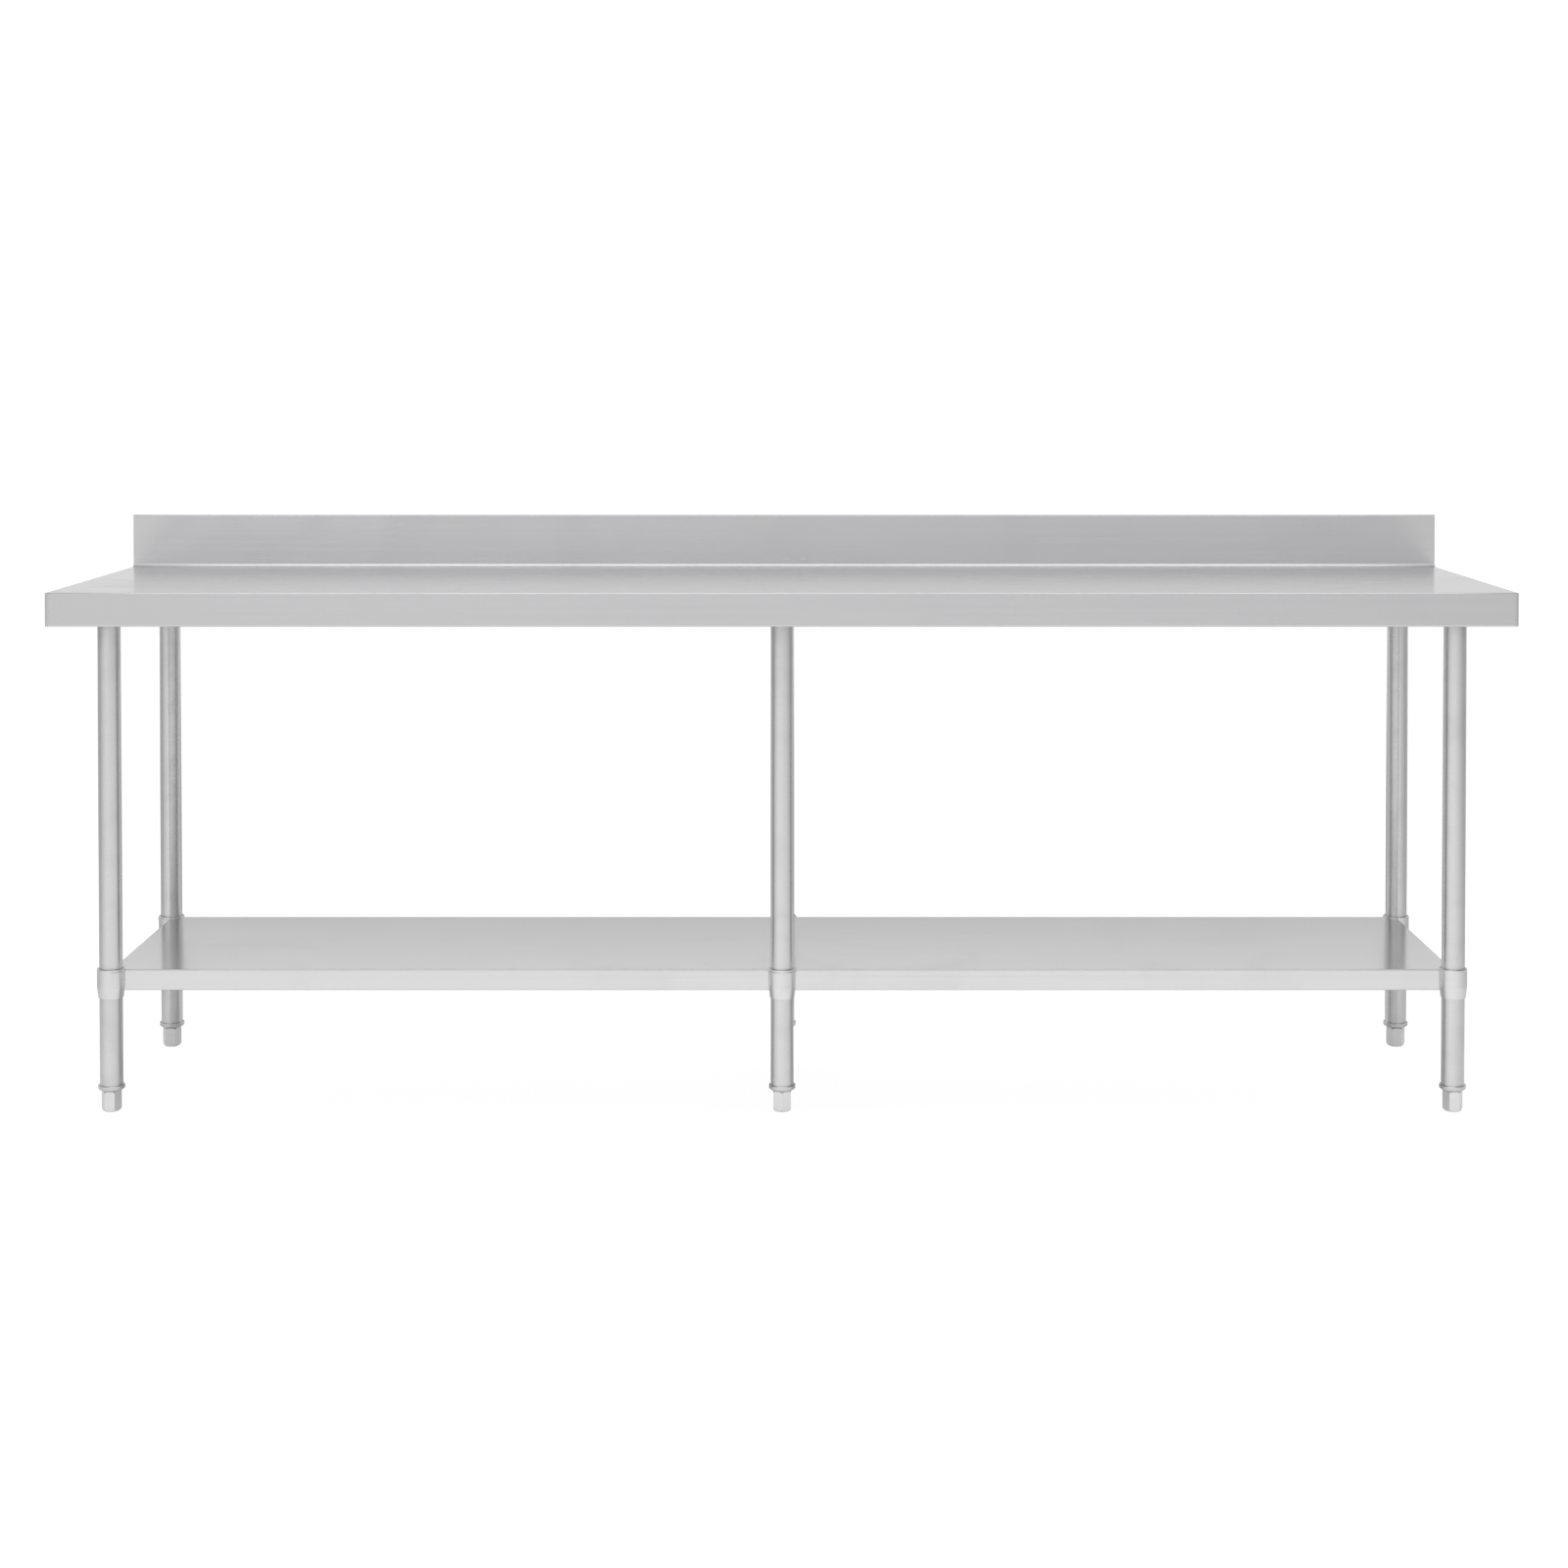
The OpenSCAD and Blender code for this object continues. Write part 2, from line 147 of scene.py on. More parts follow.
# ---------------------------------------------------------------- finishes


def sheet_steel(name, bright, dull, roughness, ripple_height, grain_height, scratch_height, corner):
    """Stainless sheet ground along the table, with its welded front corners ground smooth."""
    material = bpy.data.materials.new(name)
    material.use_nodes = True
    nodes = material.node_tree.nodes
    links = material.node_tree.links
    nodes.clear()

    coords = nodes.new("ShaderNodeTexCoord")
    coords.label = "Place on the sheet"
    grain_place = nodes.new("ShaderNodeMapping")
    grain_place.label = "Stretch the grain along the table"
    grain = nodes.new("ShaderNodeTexNoise")
    grain.label = "Fine grinding grain"
    streak_place = nodes.new("ShaderNodeMapping")
    streak_place.label = "Stretch the streaks along the table"
    streaks = nodes.new("ShaderNodeTexNoise")
    streaks.label = "Broad grinding streaks"
    ripple_place = nodes.new("ShaderNodeMapping")
    ripple_place.label = "Length of the ripples"
    ripple = nodes.new("ShaderNodeTexNoise")
    ripple.label = "Slight ripple of thin sheet"
    smudge = nodes.new("ShaderNodeTexNoise")
    smudge.label = "Wipe marks"
    smudge_edge = nodes.new("ShaderNodeMapRange")
    smudge_edge.label = "Only the strongest wipe marks"
    scratch_place = nodes.new("ShaderNodeMapping")
    scratch_place.label = "Slant the scratches"
    scratches = nodes.new("ShaderNodeTexNoise")
    scratches.label = "Long thin scratches"
    scratch_edge = nodes.new("ShaderNodeMapRange")
    scratch_edge.label = "Only a few scratches"
    tint = nodes.new("ShaderNodeMix")
    tint.label = "Streaks in the steel's colour"
    worn = nodes.new("ShaderNodeMix")
    worn.label = "Wipe marks dull the colour"
    grain_rough = nodes.new("ShaderNodeMapRange")
    grain_rough.label = "Roughness from the grain"
    smudge_rough = nodes.new("ShaderNodeMath")
    smudge_rough.label = "Wipe marks add roughness"
    scratch_rough = nodes.new("ShaderNodeMath")
    scratch_rough.label = "Scratches add roughness"
    parts = nodes.new("ShaderNodeSeparateXYZ")
    parts.label = "Place along the table"
    facing = nodes.new("ShaderNodeSeparateXYZ")
    facing.label = "Way the face looks"
    facing_square = nodes.new("ShaderNodeMath")
    facing_square.label = "Same for left and right"
    end_face = nodes.new("ShaderNodeMath")
    end_face.label = "Folded-down end"
    folded = nodes.new("ShaderNodeCombineXYZ")
    folded.label = "Grain turned down the fold"
    sheet_place = nodes.new("ShaderNodeMix")
    sheet_place.label = "Place on the flat sheet"
    from_middle = nodes.new("ShaderNodeMath")
    from_middle.label = "Distance from the middle"
    near_end = nodes.new("ShaderNodeMapRange")
    near_end.label = "Near either end"
    near_front = nodes.new("ShaderNodeMapRange")
    near_front.label = "Near the front"
    weld_band = nodes.new("ShaderNodeMath")
    weld_band.label = "Ground weld at the corners"
    weld_tint = nodes.new("ShaderNodeMix")
    weld_tint.label = "Ground weld is darker"
    weld_rough = nodes.new("ShaderNodeMath")
    weld_rough.label = "Ground weld is rougher"
    ripple_bump = nodes.new("ShaderNodeBump")
    ripple_bump.label = "Ripple relief"
    grain_bump = nodes.new("ShaderNodeBump")
    grain_bump.label = "Grain relief"
    scratch_bump = nodes.new("ShaderNodeBump")
    scratch_bump.label = "Scratch relief"
    grinding = nodes.new("ShaderNodeCombineXYZ")
    grinding.label = "Grinding direction"
    steel = nodes.new("ShaderNodeBsdfPrincipled")
    steel.label = "Stainless steel"
    output = nodes.new("ShaderNodeOutputMaterial")
    output.label = "Surface"

    columns = (
        (coords,),
        (parts, facing),
        (folded, facing_square),
        (end_face,),
        (sheet_place,),
        (grain_place, streak_place, ripple_place, scratch_place),
        (grain, streaks, ripple, smudge, scratches, from_middle),
        (smudge_edge, scratch_edge, near_end, near_front),
        (tint, grain_rough, ripple_bump, weld_band),
        (worn, smudge_rough, grain_bump),
        (weld_tint, scratch_rough, scratch_bump, grinding),
        (weld_rough,),
        (steel,),
        (output,),
    )
    for column, members in enumerate(columns):
        for row, node in enumerate(members):
            node.location = (column * NODE_ACROSS, -row * NODE_DOWN)
    effects = (
        ("Grain and streaks", (grain_place, grain, streak_place, streaks)),
        ("Ripple", (ripple_place, ripple, ripple_bump)),
        ("Wipe marks", (smudge, smudge_edge)),
        ("Scratches", (scratch_place, scratches, scratch_edge)),
        ("Colour", (tint, worn)),
        ("Roughness", (grain_rough, smudge_rough, scratch_rough)),
        ("Fine relief", (grain_bump, scratch_bump)),
        ("Brushing", (grinding,)),
        ("Grain follows the folds", (facing, facing_square, end_face, folded, sheet_place)),
        (
            "Welds at the corners",
            (parts, from_middle, near_end, near_front, weld_band, weld_tint, weld_rough),
        ),
    )
    for title, members in effects:
        effect = nodes.new("NodeFrame")
        effect.label = title
        for node in members:
            node.parent = effect

    facing_square.operation = "MULTIPLY"
    end_face.operation = "GREATER_THAN"
    end_face.inputs[1].default_value = 0.5
    sheet_place.data_type = "VECTOR"
    grain_place.inputs["Scale"].default_value = (4.0, 1100.0, 1100.0)
    grain.inputs["Scale"].default_value = 1.0
    grain.inputs["Detail"].default_value = 3.0
    streak_place.inputs["Scale"].default_value = (0.8, 130.0, 130.0)
    streaks.inputs["Scale"].default_value = 1.0
    streaks.inputs["Detail"].default_value = 4.0
    ripple_place.inputs["Scale"].default_value = (3.2, 2.4, 5.0)
    ripple.inputs["Scale"].default_value = 1.0
    ripple.inputs["Detail"].default_value = 1.0
    smudge.inputs["Scale"].default_value = 6.0
    smudge.inputs["Detail"].default_value = 4.0
    smudge.inputs["Distortion"].default_value = 0.8
    smudge_edge.inputs["From Min"].default_value = 0.5
    smudge_edge.inputs["From Max"].default_value = 0.85
    scratch_place.inputs["Rotation"].default_value = (0.15, 0.1, 0.4)
    scratch_place.inputs["Scale"].default_value = (5.0, 420.0, 420.0)
    scratches.inputs["Scale"].default_value = 1.0
    scratches.inputs["Detail"].default_value = 1.0
    scratch_edge.inputs["From Min"].default_value = 0.76
    scratch_edge.inputs["From Max"].default_value = 0.80
    tint.data_type = "RGBA"
    tint.inputs["A"].default_value = (*dull, 1.0)
    tint.inputs["B"].default_value = (*bright, 1.0)
    worn.data_type = "RGBA"
    worn.blend_type = "MULTIPLY"
    worn.inputs["B"].default_value = (0.95, 0.95, 0.95, 1.0)
    grain_rough.inputs["From Min"].default_value = 0.3
    grain_rough.inputs["From Max"].default_value = 0.7
    grain_rough.inputs["To Min"].default_value = roughness - SMOOTHER
    grain_rough.inputs["To Max"].default_value = roughness + ROUGHER
    smudge_rough.operation = "MULTIPLY_ADD"
    smudge_rough.inputs[1].default_value = 0.04
    scratch_rough.operation = "MULTIPLY_ADD"
    scratch_rough.inputs[1].default_value = 0.1
    from_middle.operation = "ABSOLUTE"
    near_end.inputs["From Min"].default_value = corner[0] - WELD_BAND
    near_end.inputs["From Max"].default_value = corner[0] - WELD_BAND * WELD_FULL
    near_front.inputs["From Min"].default_value = corner[1] + WELD_BAND
    near_front.inputs["From Max"].default_value = corner[1] + WELD_BAND * WELD_FULL
    weld_band.operation = "MULTIPLY"
    weld_tint.data_type = "RGBA"
    weld_tint.blend_type = "MULTIPLY"
    weld_tint.inputs["B"].default_value = (0.9, 0.9, 0.9, 1.0)
    weld_rough.operation = "MULTIPLY_ADD"
    weld_rough.inputs[1].default_value = 0.08
    ripple_bump.inputs["Distance"].default_value = ripple_height
    grain_bump.inputs["Distance"].default_value = grain_height
    scratch_bump.invert = True
    scratch_bump.inputs["Distance"].default_value = scratch_height
    grinding.inputs["X"].default_value = 1.0
    grinding.inputs["Z"].default_value = 0.02
    steel.inputs["Metallic"].default_value = 0.94
    steel.inputs["Anisotropic"].default_value = 0.85
    steel.inputs["Anisotropic Rotation"].default_value = 0.25

    links.new(sheet_place.outputs["Result"], grain_place.inputs["Vector"])
    links.new(sheet_place.outputs["Result"], streak_place.inputs["Vector"])
    links.new(coords.outputs["Object"], ripple_place.inputs["Vector"])
    links.new(coords.outputs["Object"], smudge.inputs["Vector"])
    links.new(coords.outputs["Object"], scratch_place.inputs["Vector"])
    links.new(grain_place.outputs["Vector"], grain.inputs["Vector"])
    links.new(streak_place.outputs["Vector"], streaks.inputs["Vector"])
    links.new(ripple_place.outputs["Vector"], ripple.inputs["Vector"])
    links.new(scratch_place.outputs["Vector"], scratches.inputs["Vector"])
    links.new(smudge.outputs["Fac"], smudge_edge.inputs["Value"])
    links.new(scratches.outputs["Fac"], scratch_edge.inputs["Value"])
    links.new(streaks.outputs["Fac"], tint.inputs["Factor"])
    links.new(smudge_edge.outputs["Result"], worn.inputs["Factor"])
    links.new(tint.outputs["Result"], worn.inputs["A"])
    links.new(grain.outputs["Fac"], grain_rough.inputs["Value"])
    links.new(smudge_edge.outputs["Result"], smudge_rough.inputs[0])
    links.new(grain_rough.outputs["Result"], smudge_rough.inputs[2])
    links.new(scratch_edge.outputs["Result"], scratch_rough.inputs[0])
    links.new(smudge_rough.outputs["Value"], scratch_rough.inputs[2])
    links.new(ripple.outputs["Fac"], ripple_bump.inputs["Height"])
    links.new(grain.outputs["Fac"], grain_bump.inputs["Height"])
    links.new(ripple_bump.outputs["Normal"], grain_bump.inputs["Normal"])
    links.new(scratch_edge.outputs["Result"], scratch_bump.inputs["Height"])
    links.new(grain_bump.outputs["Normal"], scratch_bump.inputs["Normal"])
    links.new(coords.outputs["Object"], parts.inputs["Vector"])
    links.new(coords.outputs["Normal"], facing.inputs["Vector"])
    links.new(facing.outputs["X"], facing_square.inputs[0])
    links.new(facing.outputs["X"], facing_square.inputs[1])
    links.new(facing_square.outputs["Value"], end_face.inputs[0])
    links.new(parts.outputs["Z"], folded.inputs["X"])
    links.new(parts.outputs["Y"], folded.inputs["Y"])
    links.new(parts.outputs["X"], folded.inputs["Z"])
    links.new(end_face.outputs["Value"], sheet_place.inputs["Factor"])
    links.new(coords.outputs["Object"], sheet_place.inputs["A"])
    links.new(folded.outputs["Vector"], sheet_place.inputs["B"])
    links.new(parts.outputs["X"], from_middle.inputs[0])
    links.new(from_middle.outputs["Value"], near_end.inputs["Value"])
    links.new(parts.outputs["Y"], near_front.inputs["Value"])
    links.new(near_end.outputs["Result"], weld_band.inputs[0])
    links.new(near_front.outputs["Result"], weld_band.inputs[1])
    links.new(weld_band.outputs["Value"], weld_tint.inputs["Factor"])
    links.new(worn.outputs["Result"], weld_tint.inputs["A"])
    links.new(weld_band.outputs["Value"], weld_rough.inputs[0])
    links.new(scratch_rough.outputs["Value"], weld_rough.inputs[2])
    links.new(weld_tint.outputs["Result"], steel.inputs["Base Color"])
    links.new(weld_rough.outputs["Value"], steel.inputs["Roughness"])
    links.new(scratch_bump.outputs["Normal"], steel.inputs["Normal"])
    links.new(grinding.outputs["Vector"], steel.inputs["Tangent"])
    links.new(steel.outputs["BSDF"], output.inputs["Surface"])
    return material


def worked_metal(name, bright, dull, roughness, line_scale, line_height, pit_height, brushing):
    """Metal of the small parts: polishing lines in one direction, fine pits and handling marks."""
    material = bpy.data.materials.new(name)
    material.use_nodes = True
    nodes = material.node_tree.nodes
    links = material.node_tree.links
    nodes.clear()

    coords = nodes.new("ShaderNodeTexCoord")
    coords.label = "Place on the piece"
    line_place = nodes.new("ShaderNodeMapping")
    line_place.label = "Direction of the polishing lines"
    lines = nodes.new("ShaderNodeTexNoise")
    lines.label = "Polishing lines"
    pits = nodes.new("ShaderNodeTexNoise")
    pits.label = "Fine pits"
    marks = nodes.new("ShaderNodeTexNoise")
    marks.label = "Handling marks"
    marks_edge = nodes.new("ShaderNodeMapRange")
    marks_edge.label = "Only the strongest marks"
    tint = nodes.new("ShaderNodeMix")
    tint.label = "Lines in the metal's colour"
    worn = nodes.new("ShaderNodeMix")
    worn.label = "Marks dull the colour"
    line_rough = nodes.new("ShaderNodeMapRange")
    line_rough.label = "Roughness from the lines"
    marks_rough = nodes.new("ShaderNodeMath")
    marks_rough.label = "Marks add roughness"
    line_bump = nodes.new("ShaderNodeBump")
    line_bump.label = "Line relief"
    pit_bump = nodes.new("ShaderNodeBump")
    pit_bump.label = "Pit relief"
    upright = nodes.new("ShaderNodeCombineXYZ")
    upright.label = "Across the polishing lines"
    metal = nodes.new("ShaderNodeBsdfPrincipled")
    metal.label = "Metal"
    output = nodes.new("ShaderNodeOutputMaterial")
    output.label = "Surface"

    columns = (
        (coords,),
        (line_place,),
        (lines, pits, marks),
        (marks_edge,),
        (tint, line_rough, line_bump),
        (worn, marks_rough, pit_bump, upright),
        (metal,),
        (output,),
    )
    for column, members in enumerate(columns):
        for row, node in enumerate(members):
            node.location = (column * NODE_ACROSS, -row * NODE_DOWN)
    effects = (
        ("Polishing lines", (line_place, lines, line_bump)),
        ("Pits", (pits, pit_bump)),
        ("Handling marks", (marks, marks_edge)),
        ("Colour", (tint, worn)),
        ("Roughness", (line_rough, marks_rough)),
        ("Brushing", (upright,)),
    )
    for title, members in effects:
        effect = nodes.new("NodeFrame")
        effect.label = title
        for node in members:
            node.parent = effect

    line_place.inputs["Scale"].default_value = line_scale
    lines.inputs["Scale"].default_value = 1.0
    lines.inputs["Detail"].default_value = 3.0
    pits.inputs["Scale"].default_value = 900.0
    pits.inputs["Detail"].default_value = 2.0
    marks.inputs["Scale"].default_value = 22.0
    marks.inputs["Detail"].default_value = 4.0
    marks.inputs["Distortion"].default_value = 0.5
    marks_edge.inputs["From Min"].default_value = 0.5
    marks_edge.inputs["From Max"].default_value = 0.72
    tint.data_type = "RGBA"
    tint.inputs["A"].default_value = (*dull, 1.0)
    tint.inputs["B"].default_value = (*bright, 1.0)
    worn.data_type = "RGBA"
    worn.blend_type = "MULTIPLY"
    worn.inputs["B"].default_value = (0.95, 0.95, 0.945, 1.0)
    line_rough.inputs["From Min"].default_value = 0.3
    line_rough.inputs["From Max"].default_value = 0.7
    line_rough.inputs["To Min"].default_value = roughness - SMOOTHER
    line_rough.inputs["To Max"].default_value = roughness + ROUGHER
    marks_rough.operation = "MULTIPLY_ADD"
    marks_rough.inputs[1].default_value = 0.03
    line_bump.inputs["Distance"].default_value = line_height
    pit_bump.inputs["Distance"].default_value = pit_height
    upright.inputs["X"].default_value = 0.02
    upright.inputs["Y"].default_value = 0.01
    upright.inputs["Z"].default_value = 1.0
    metal.inputs["Metallic"].default_value = 1.0
    metal.inputs["Anisotropic"].default_value = brushing

    links.new(coords.outputs["Object"], line_place.inputs["Vector"])
    links.new(coords.outputs["Object"], pits.inputs["Vector"])
    links.new(coords.outputs["Object"], marks.inputs["Vector"])
    links.new(line_place.outputs["Vector"], lines.inputs["Vector"])
    links.new(marks.outputs["Fac"], marks_edge.inputs["Value"])
    links.new(lines.outputs["Fac"], tint.inputs["Factor"])
    links.new(marks_edge.outputs["Result"], worn.inputs["Factor"])
    links.new(tint.outputs["Result"], worn.inputs["A"])
    links.new(lines.outputs["Fac"], line_rough.inputs["Value"])
    links.new(marks_edge.outputs["Result"], marks_rough.inputs[0])
    links.new(line_rough.outputs["Result"], marks_rough.inputs[2])
    links.new(lines.outputs["Fac"], line_bump.inputs["Height"])
    links.new(pits.outputs["Fac"], pit_bump.inputs["Height"])
    links.new(line_bump.outputs["Normal"], pit_bump.inputs["Normal"])
    links.new(worn.outputs["Result"], metal.inputs["Base Color"])
    links.new(marks_rough.outputs["Value"], metal.inputs["Roughness"])
    links.new(pit_bump.outputs["Normal"], metal.inputs["Normal"])
    links.new(upright.outputs["Vector"], metal.inputs["Tangent"])
    links.new(metal.outputs["BSDF"], output.inputs["Surface"])
    return material


def strip_rubber(name):
    """Matt black sound-deadening strip with a pressed grain and a dusting of grey."""
    material = bpy.data.materials.new(name)
    material.use_nodes = True
    nodes = material.node_tree.nodes
    links = material.node_tree.links
    nodes.clear()

    coords = nodes.new("ShaderNodeTexCoord")
    coords.label = "Place on the strip"
    grain = nodes.new("ShaderNodeTexNoise")
    grain.label = "Pressed grain"
    dust = nodes.new("ShaderNodeTexNoise")
    dust.label = "Dust"
    tint = nodes.new("ShaderNodeMix")
    tint.label = "Dust greys the rubber"
    dust_rough = nodes.new("ShaderNodeMapRange")
    dust_rough.label = "Dust makes it duller"
    grain_bump = nodes.new("ShaderNodeBump")
    grain_bump.label = "Grain relief"
    rubber = nodes.new("ShaderNodeBsdfPrincipled")
    rubber.label = "Rubber"
    output = nodes.new("ShaderNodeOutputMaterial")
    output.label = "Surface"

    columns = ((coords,), (grain, dust), (tint, dust_rough, grain_bump), (rubber,), (output,))
    for column, members in enumerate(columns):
        for row, node in enumerate(members):
            node.location = (column * NODE_ACROSS, -row * NODE_DOWN)
    effects = (("Grain", (grain, grain_bump)), ("Dust", (dust, tint, dust_rough)))
    for title, members in effects:
        effect = nodes.new("NodeFrame")
        effect.label = title
        for node in members:
            node.parent = effect

    grain.inputs["Scale"].default_value = 700.0
    dust.inputs["Scale"].default_value = 40.0
    dust.inputs["Detail"].default_value = 5.0
    tint.data_type = "RGBA"
    tint.inputs["A"].default_value = (0.018, 0.018, 0.02, 1.0)
    tint.inputs["B"].default_value = (0.09, 0.088, 0.085, 1.0)
    dust_rough.inputs["To Min"].default_value = 0.6
    dust_rough.inputs["To Max"].default_value = 0.9
    grain_bump.inputs["Distance"].default_value = 0.0001

    links.new(coords.outputs["Object"], grain.inputs["Vector"])
    links.new(coords.outputs["Object"], dust.inputs["Vector"])
    links.new(dust.outputs["Fac"], tint.inputs["Factor"])
    links.new(dust.outputs["Fac"], dust_rough.inputs["Value"])
    links.new(grain.outputs["Fac"], grain_bump.inputs["Height"])
    links.new(tint.outputs["Result"], rubber.inputs["Base Color"])
    links.new(dust_rough.outputs["Result"], rubber.inputs["Roughness"])
    links.new(grain_bump.outputs["Normal"], rubber.inputs["Normal"])
    links.new(rubber.outputs["BSDF"], output.inputs["Surface"])
    return material


finishes = {
    "worktop_steel": sheet_steel(
        "ground worktop steel", bright=(0.668, 0.664, 0.675), dull=(0.618, 0.614, 0.625),
        roughness=0.22, ripple_height=0.0020, grain_height=2e-6, scratch_height=3e-6,
        corner=TOP_CORNER
    ),
    "shelf_steel": sheet_steel(
        "ground undershelf steel", bright=(0.7, 0.7, 0.702), dull=(0.65, 0.65, 0.652),
        roughness=0.18, ripple_height=0.0008, grain_height=2e-6, scratch_height=3e-6,
        corner=SHELF_CORNER
    ),
    "channel_steel": sheet_steel(
        "mill-finish channel steel", bright=(0.57, 0.57, 0.574), dull=(0.48, 0.48, 0.484),
        roughness=0.4, ripple_height=0.0002, grain_height=4e-6, scratch_height=1e-5,
        corner=TOP_CORNER
    ),
    "deadening_rubber": strip_rubber("sound-deadening rubber"),
    "fixing_steel": worked_metal(
        "plain fixing steel", bright=(0.66, 0.66, 0.665), dull=(0.54, 0.54, 0.545),
        roughness=0.34, line_scale=AROUND, line_height=6e-6, pit_height=4e-6, brushing=0.3
    ),
    "socket_steel": worked_metal(
        "cast leg socket", bright=(0.59, 0.59, 0.593), dull=(0.49, 0.49, 0.493),
        roughness=0.42, line_scale=ALL_WAYS, line_height=2e-5, pit_height=2e-5, brushing=0.0
    ),
    "leg_tube": worked_metal(
        "polished leg tube", bright=(0.74, 0.74, 0.742), dull=(0.67, 0.67, 0.672),
        roughness=0.3, line_scale=AROUND, line_height=3e-6, pit_height=5e-7, brushing=0.97
    ),
    "collar_steel": worked_metal(
        "satin shelf collar", bright=(0.78, 0.78, 0.782), dull=(0.71, 0.71, 0.712),
        roughness=0.3, line_scale=AROUND, line_height=4e-6, pit_height=3e-6, brushing=0.9
    ),
    "insert_metal": worked_metal(
        "satin foot insert", bright=(0.68, 0.68, 0.682), dull=(0.6, 0.6, 0.602),
        roughness=0.3, line_scale=AROUND, line_height=4e-6, pit_height=3e-6, brushing=0.85
    ),
    "foot_metal": worked_metal(
        "satin hexagonal foot", bright=(0.79, 0.79, 0.792), dull=(0.72, 0.72, 0.722),
        roughness=0.34, line_scale=ALL_WAYS, line_height=5e-6, pit_height=5e-6, brushing=0.2
    ),
}

for subpart in frame["record"]["subparts"]:
    node_object = frame["nodes"][subpart["node"]]
    for slot in node_object.material_slots:
        slot.material = finishes[subpart["material_slot"]]


# ---------------------------------------------------------------- threads and weld beads


def threaded_rod(radius, length, pitch, depth, steps, tip):
    """A rod with a rolled thread, standing on the origin, with a tapered upper tip."""
    deselect_all()
    flank = pitch * THREAD_FLANK
    bpy.ops.mesh.primitive_plane_add(size=pitch, location=(0.0, 0.0, 0.0))
    rod = bpy.context.object
    bpy.ops.object.mode_set(mode="EDIT")
    bpy.ops.mesh.select_all(action="SELECT")
    bpy.ops.mesh.merge(type="CENTER")
    # It starts a little over one turn low, so no point of it lies on the plane of either cut.
    bpy.ops.transform.translate(value=(radius - depth, 0.0, -pitch * THREAD_LEAD))
    for step_out, step_up in ((depth, flank), (0.0, pitch - 2.0 * flank), (-depth, flank)):
        bpy.ops.mesh.extrude_region_move(
            TRANSFORM_OT_translate={"value": (step_out, 0.0, step_up)}
        )
    bpy.ops.object.mode_set(mode="OBJECT")

    turning = rod.modifiers.new("turning", "SCREW")
    turning.axis = "Z"
    turning.angle = math.radians(360.0)
    turning.screw_offset = pitch
    turning.iterations = math.ceil(length / pitch + THREAD_LEAD) + 1
    turning.steps = steps
    turning.render_steps = steps
    bpy.ops.object.modifier_apply(modifier="turning")
    bpy.ops.object.mode_set(mode="EDIT")
    bpy.ops.mesh.select_all(action="SELECT")
    bpy.ops.mesh.remove_doubles(threshold=pitch * THREAD_MERGE)
    bpy.ops.mesh.bisect(
        plane_co=(0.0, 0.0, 0.0), plane_no=(0.0, 0.0, 1.0), use_fill=True, clear_inner=True,
        threshold=pitch * THREAD_CUT
    )
    bpy.ops.mesh.select_all(action="SELECT")
    bpy.ops.mesh.bisect(
        plane_co=(0.0, 0.0, length - tip), plane_no=(0.0, 0.0, 1.0), use_fill=True,
        clear_outer=True, threshold=pitch * THREAD_CUT
    )
    bpy.ops.mesh.extrude_region_move(TRANSFORM_OT_translate={"value": (0.0, 0.0, tip)})
    bpy.ops.transform.resize(
        value=(THREAD_POINT, THREAD_POINT, 1.0), center_override=(0.0, 0.0, length)
    )
    bpy.ops.mesh.select_all(action="SELECT")
    bpy.ops.mesh.remove_doubles(threshold=pitch * THREAD_MERGE)
    bpy.ops.mesh.normals_make_consistent(inside=False)
    bpy.ops.object.mode_set(mode="OBJECT")
    bpy.ops.object.shade_smooth_by_angle(angle=THREAD_SMOOTH_ANGLE)
    return rod


def weld_bead(ring_radius, bead_radius, ripple, sweep, rings):
    """A rippled weld bead along part of a circle about the origin, from +X towards +Y."""
    deselect_all()
    bpy.ops.mesh.primitive_circle_add(
        vertices=BEAD_SIDES, radius=bead_radius, fill_type="NGON",
        location=(ring_radius, 0.0, 0.0), rotation=(math.radians(90.0), 0.0, 0.0)
    )
    bead = bpy.context.object
    settle(bead)
    bpy.ops.object.mode_set(mode="EDIT")
    bpy.ops.mesh.select_all(action="SELECT")
    bpy.ops.mesh.spin(
        steps=rings, angle=sweep, center=(0.0, 0.0, 0.0), axis=(0.0, 0.0, 1.0)
    )
    bpy.ops.mesh.select_all(action="SELECT")
    bpy.ops.mesh.remove_doubles(threshold=BEAD_MERGE)
    bpy.ops.mesh.normals_make_consistent(inside=False)
    bpy.ops.object.mode_set(mode="OBJECT")
    step = sweep / rings
    for vertex in bead.data.vertices:
        around = math.atan2(vertex.co.y, vertex.co.x) % (2.0 * math.pi)
        wave = 1.0 - ripple / bead_radius * (round(around / step) % BEAD_RIPPLE_STEPS)
        out = math.hypot(vertex.co.x, vertex.co.y) - ring_radius
        reach = (ring_radius + out * wave) / (ring_radius + out)
        vertex.co = (vertex.co.x * reach, vertex.co.y * reach, vertex.co.z * wave)
    bpy.ops.object.shade_smooth()
    return bead


def round_solids(node, reach):
    """Centres in plan of the separate upright round solids of a CAD node, and their radius."""
    groups = []
    for vertex in frame["nodes"][node].data.vertices:
        x, y = vertex.co.x, vertex.co.y
        for group in groups:
            if math.hypot(x - group[0][0], y - group[0][1]) < reach:
                group.append((x, y))
                break
        else:
            groups.append([(x, y)])
    centres = []
    for group in groups:
        along, across = [p[0] for p in group], [p[1] for p in group]
        centres.append(((min(along) + max(along)) / 2, (min(across) + max(across)) / 2))
    return centres, (max(along) - min(along)) / 2


